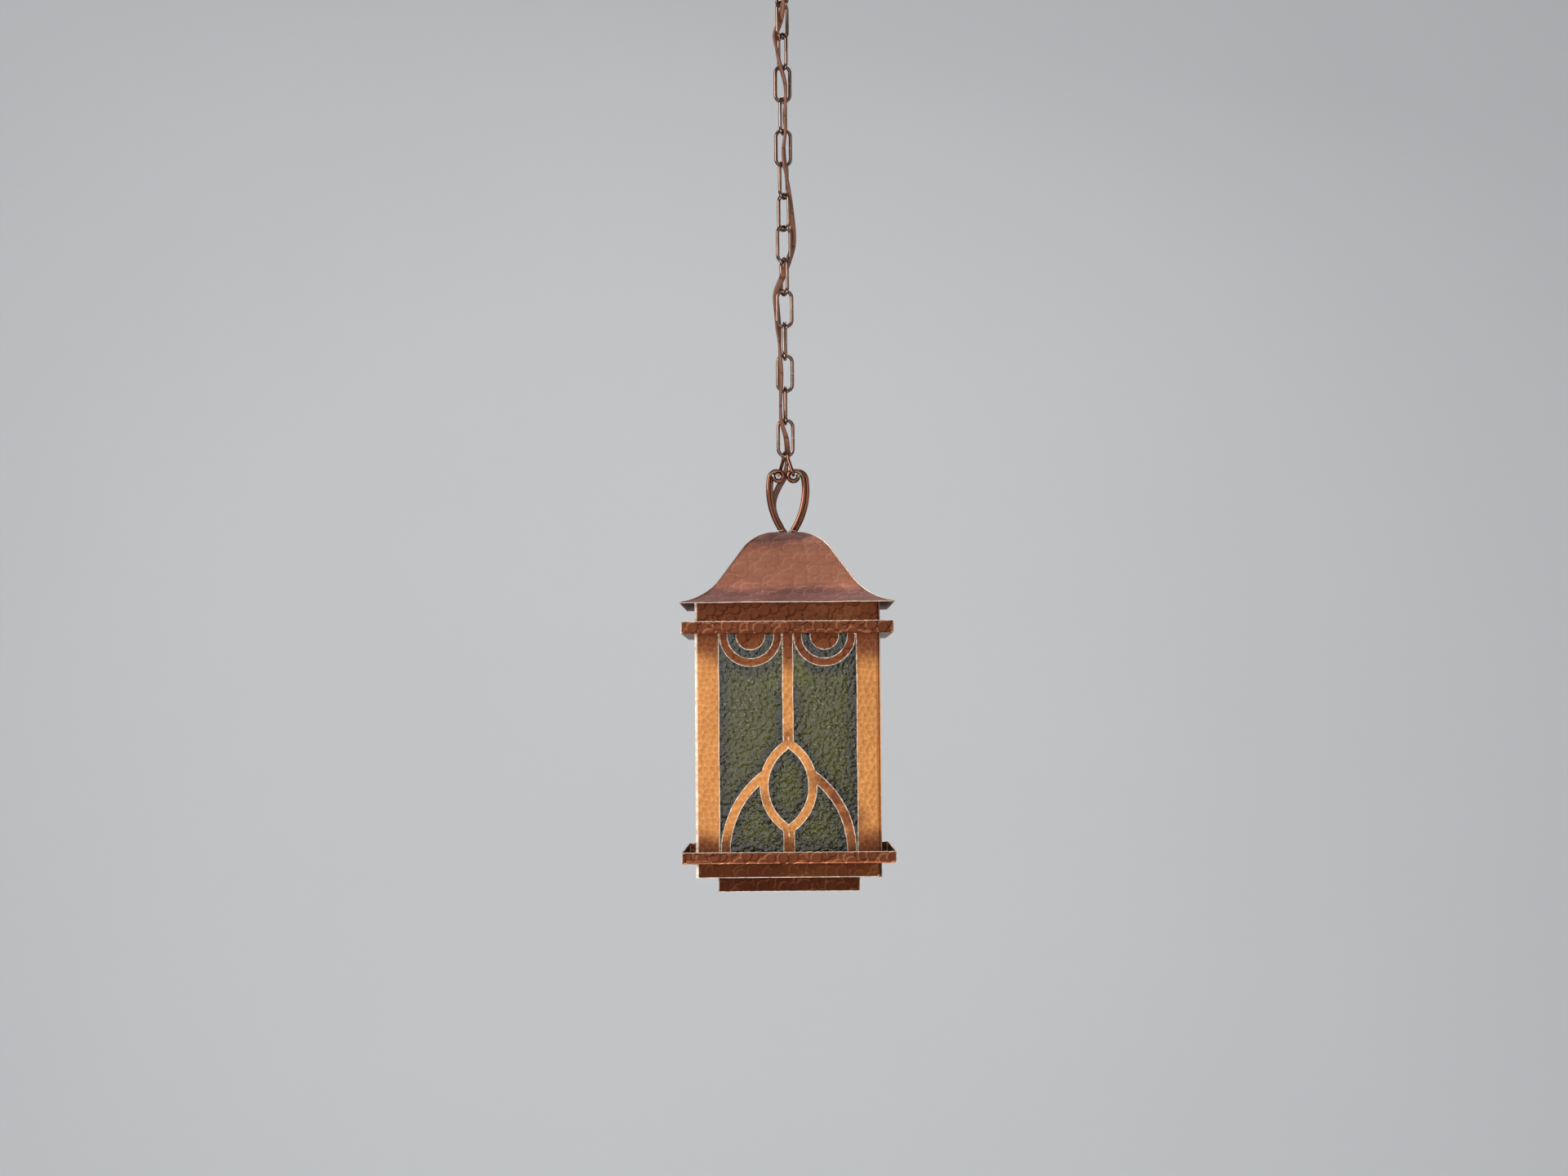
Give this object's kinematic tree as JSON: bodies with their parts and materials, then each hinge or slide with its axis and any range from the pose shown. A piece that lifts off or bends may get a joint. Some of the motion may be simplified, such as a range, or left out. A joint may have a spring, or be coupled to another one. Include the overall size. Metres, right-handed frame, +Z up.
{
  "type": "hanging lantern",
  "caption": "Square hanging lantern of hammered copper with a flared roof, pierced tracery over green glass, a heart-shaped wire hanger, an oval-link chain and a ceiling canopy.",
  "frame": {"origin": "middle of the ceiling plane, centre of the mounting strap's upper face", "axes": "+Z up, the lantern's front faces -Y, the ceiling screw holes lie along X"},
  "size_m": [0.1762, 0.1762, 0.8342],
  "materials": {
    "green_glass": "hammered cathedral glass, semi-gloss",
    "dark_copper_wire": "dark aged copper with worn highlights",
    "patina_copper": "dull hammered copper with a pinkish-brown patina",
    "bright_copper": "hammered copper, satin",
    "brown_copper": "dark brown hammered copper",
    "zinc_steel": "zinc-plated",
    "cord_jacket": "smooth matte jacket",
    "cream_sleeve": "matte cream fibre",
    "porcelain": "glazed",
    "brass_fittings": "satin brass"
  },
  "bodies": {
    "canopy": {"canopy": "patina_copper", "mounting_strap": "zinc_steel", "canopy_nipple": "brass_fittings", "canopy_nut": "brass_fittings", "canopy_loop": "dark_copper_wire", "cord": "cord_jacket"},
    "chain_link_01": {"chain_link_01": "dark_copper_wire"},
    "chain_link_02": {"chain_link_02": "dark_copper_wire"},
    "chain_link_03": {"chain_link_03": "dark_copper_wire"},
    "chain_link_04": {"chain_link_04": "dark_copper_wire"},
    "chain_link_05": {"chain_link_05": "dark_copper_wire"},
    "chain_link_06": {"chain_link_06": "dark_copper_wire"},
    "chain_link_07": {"chain_link_07": "dark_copper_wire"},
    "chain_link_08": {"chain_link_08": "dark_copper_wire"},
    "chain_link_09": {"chain_link_09": "dark_copper_wire"},
    "chain_link_10": {"chain_link_10": "dark_copper_wire"},
    "chain_link_11": {"chain_link_11": "dark_copper_wire"},
    "chain_link_12": {"chain_link_12": "dark_copper_wire"},
    "chain_link_13": {"chain_link_13": "dark_copper_wire"},
    "chain_link_14": {"chain_link_14": "dark_copper_wire"},
    "chain_link_15": {"chain_link_15": "dark_copper_wire"},
    "connector": {"connector": "dark_copper_wire"},
    "lantern": {"hanger_wire_front_left": "dark_copper_wire", "hanger_wire_front_right": "dark_copper_wire", "hanger_wire_rear_left": "dark_copper_wire", "hanger_wire_rear_right": "dark_copper_wire", "crown_washer": "brass_fittings", "roof_panel_front": "patina_copper", "roof_panel_right": "patina_copper", "roof_panel_back": "patina_copper", "roof_panel_left": "patina_copper", "side_panel_front": "bright_copper", "side_panel_right": "bright_copper", "side_panel_back": "bright_copper", "side_panel_left": "bright_copper", "glass_front": "green_glass", "glass_right": "green_glass", "glass_back": "green_glass", "glass_left": "green_glass", "glass_tabs": "brown_copper", "upper_band": "brown_copper", "lower_band": "brown_copper", "base_plate": "brown_copper", "base_skirt": "brown_copper", "socket_strap": "brass_fittings", "socket_nipple": "brass_fittings", "socket_nut_upper": "brass_fittings", "socket_nut_lower": "brass_fittings", "socket_cap": "brass_fittings", "socket_sleeve": "cream_sleeve", "socket_base": "porcelain", "screw_shell": "brass_fittings", "centre_contact": "brass_fittings"}
  },
  "joints": [
    {"name": "link_01_swing", "type": "hinge", "parent": "canopy", "child": "chain_link_01", "pos_m": [0, 0, -0.0559], "axis": [-0.682, -0.7314, 0], "range_deg": [-60, 60]},
    {"name": "link_02_swing", "type": "hinge", "parent": "chain_link_01", "child": "chain_link_02", "pos_m": [0, 0, -0.08325], "axis": [0.7314, -0.682, 0], "range_deg": [-60, 60]},
    {"name": "link_03_swing", "type": "hinge", "parent": "chain_link_02", "child": "chain_link_03", "pos_m": [0, 0, -0.11085], "axis": [0.682, 0.7314, 0], "range_deg": [-60, 60]},
    {"name": "link_04_swing", "type": "hinge", "parent": "chain_link_03", "child": "chain_link_04", "pos_m": [0, 0, -0.13845], "axis": [0.5, -0.866, 0], "range_deg": [-60, 60]},
    {"name": "link_05_swing", "type": "hinge", "parent": "chain_link_04", "child": "chain_link_05", "pos_m": [0, 0, -0.16605], "axis": [-1, 0, 0], "range_deg": [-60, 60]},
    {"name": "link_06_swing", "type": "hinge", "parent": "chain_link_05", "child": "chain_link_06", "pos_m": [0, 0, -0.19365], "axis": [-0.3584, -0.9336, 0], "range_deg": [-60, 60]},
    {"name": "link_07_swing", "type": "hinge", "parent": "chain_link_06", "child": "chain_link_07", "pos_m": [0, 0, -0.22125], "axis": [-1, 0, 0], "range_deg": [-60, 60]},
    {"name": "link_08_swing", "type": "hinge", "parent": "chain_link_07", "child": "chain_link_08", "pos_m": [0, 0, -0.24885], "axis": [-0.5, -0.866, 0], "range_deg": [-60, 60], "deforming": ["cord"]},
    {"name": "link_09_swing", "type": "hinge", "parent": "chain_link_08", "child": "chain_link_09", "pos_m": [0, 0, -0.27645], "axis": [-0.682, 0.7314, 0], "range_deg": [-60, 60]},
    {"name": "link_10_swing", "type": "hinge", "parent": "chain_link_09", "child": "chain_link_10", "pos_m": [0, 0, -0.30405], "axis": [-0.866, -0.5, 0], "range_deg": [-60, 60]},
    {"name": "link_11_swing", "type": "hinge", "parent": "chain_link_10", "child": "chain_link_11", "pos_m": [0, 0, -0.33165], "axis": [-0.4067, 0.9135, 0], "range_deg": [-60, 60]},
    {"name": "link_12_swing", "type": "hinge", "parent": "chain_link_11", "child": "chain_link_12", "pos_m": [0, 0, -0.35925], "axis": [1, 0, 0], "range_deg": [-60, 60]},
    {"name": "link_13_swing", "type": "hinge", "parent": "chain_link_12", "child": "chain_link_13", "pos_m": [0, 0, -0.38685], "axis": [-0.0872, -0.9962, 0], "range_deg": [-60, 60]},
    {"name": "link_14_swing", "type": "hinge", "parent": "chain_link_13", "child": "chain_link_14", "pos_m": [0, 0, -0.41445], "axis": [1, 0, 0], "range_deg": [-60, 60]},
    {"name": "link_15_swing", "type": "hinge", "parent": "chain_link_14", "child": "chain_link_15", "pos_m": [0, 0, -0.44205], "axis": [-0.0349, 0.9994, 0], "range_deg": [-60, 60]},
    {"name": "connector_swing", "type": "hinge", "parent": "chain_link_15", "child": "connector", "pos_m": [0, 0, -0.46965], "axis": [1, 0, 0], "range_deg": [-60, 60]},
    {"name": "lantern_swing", "type": "hinge", "parent": "connector", "child": "lantern", "pos_m": [0, 0, -0.486], "axis": [1, 0, 0], "range_deg": [-6, 6]}
  ]
}
